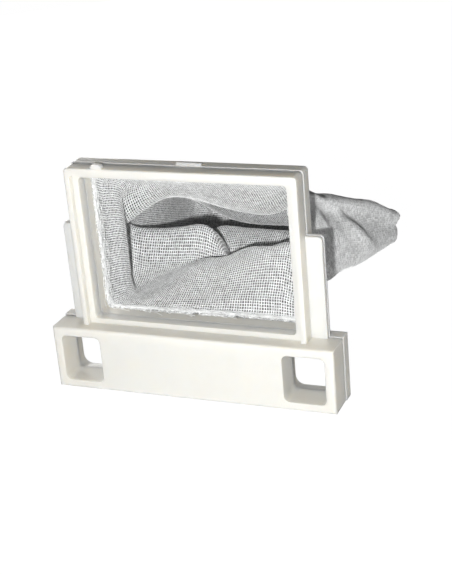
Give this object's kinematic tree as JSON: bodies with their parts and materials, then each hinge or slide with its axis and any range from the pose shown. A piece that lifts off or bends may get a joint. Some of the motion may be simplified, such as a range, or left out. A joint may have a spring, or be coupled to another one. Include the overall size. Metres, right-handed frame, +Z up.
{
  "type": "lint filter",
  "caption": "Clip-in washing machine lint filter: a moulded white frame in two clamped halves, standing on a hollow base with finger windows, holding open the mouth of a sagging net bag.",
  "frame": {"origin": "middle of the base's underside, on the surface the filter stands on", "axes": "+X across the frame to the right as seen from the mouth, +Y from the mouth back along the bag, +Z up"},
  "size_m": [0.1058, 0.114, 0.0833],
  "materials": {
    "frame_plastic": "satin off-white moulding",
    "bag_net": "fine sheer nylon net"
  },
  "bodies": {
    "root": {"front_frame": "frame_plastic", "rear_frame": "frame_plastic", "mesh_bag": "bag_net"}
  },
  "joints": []
}
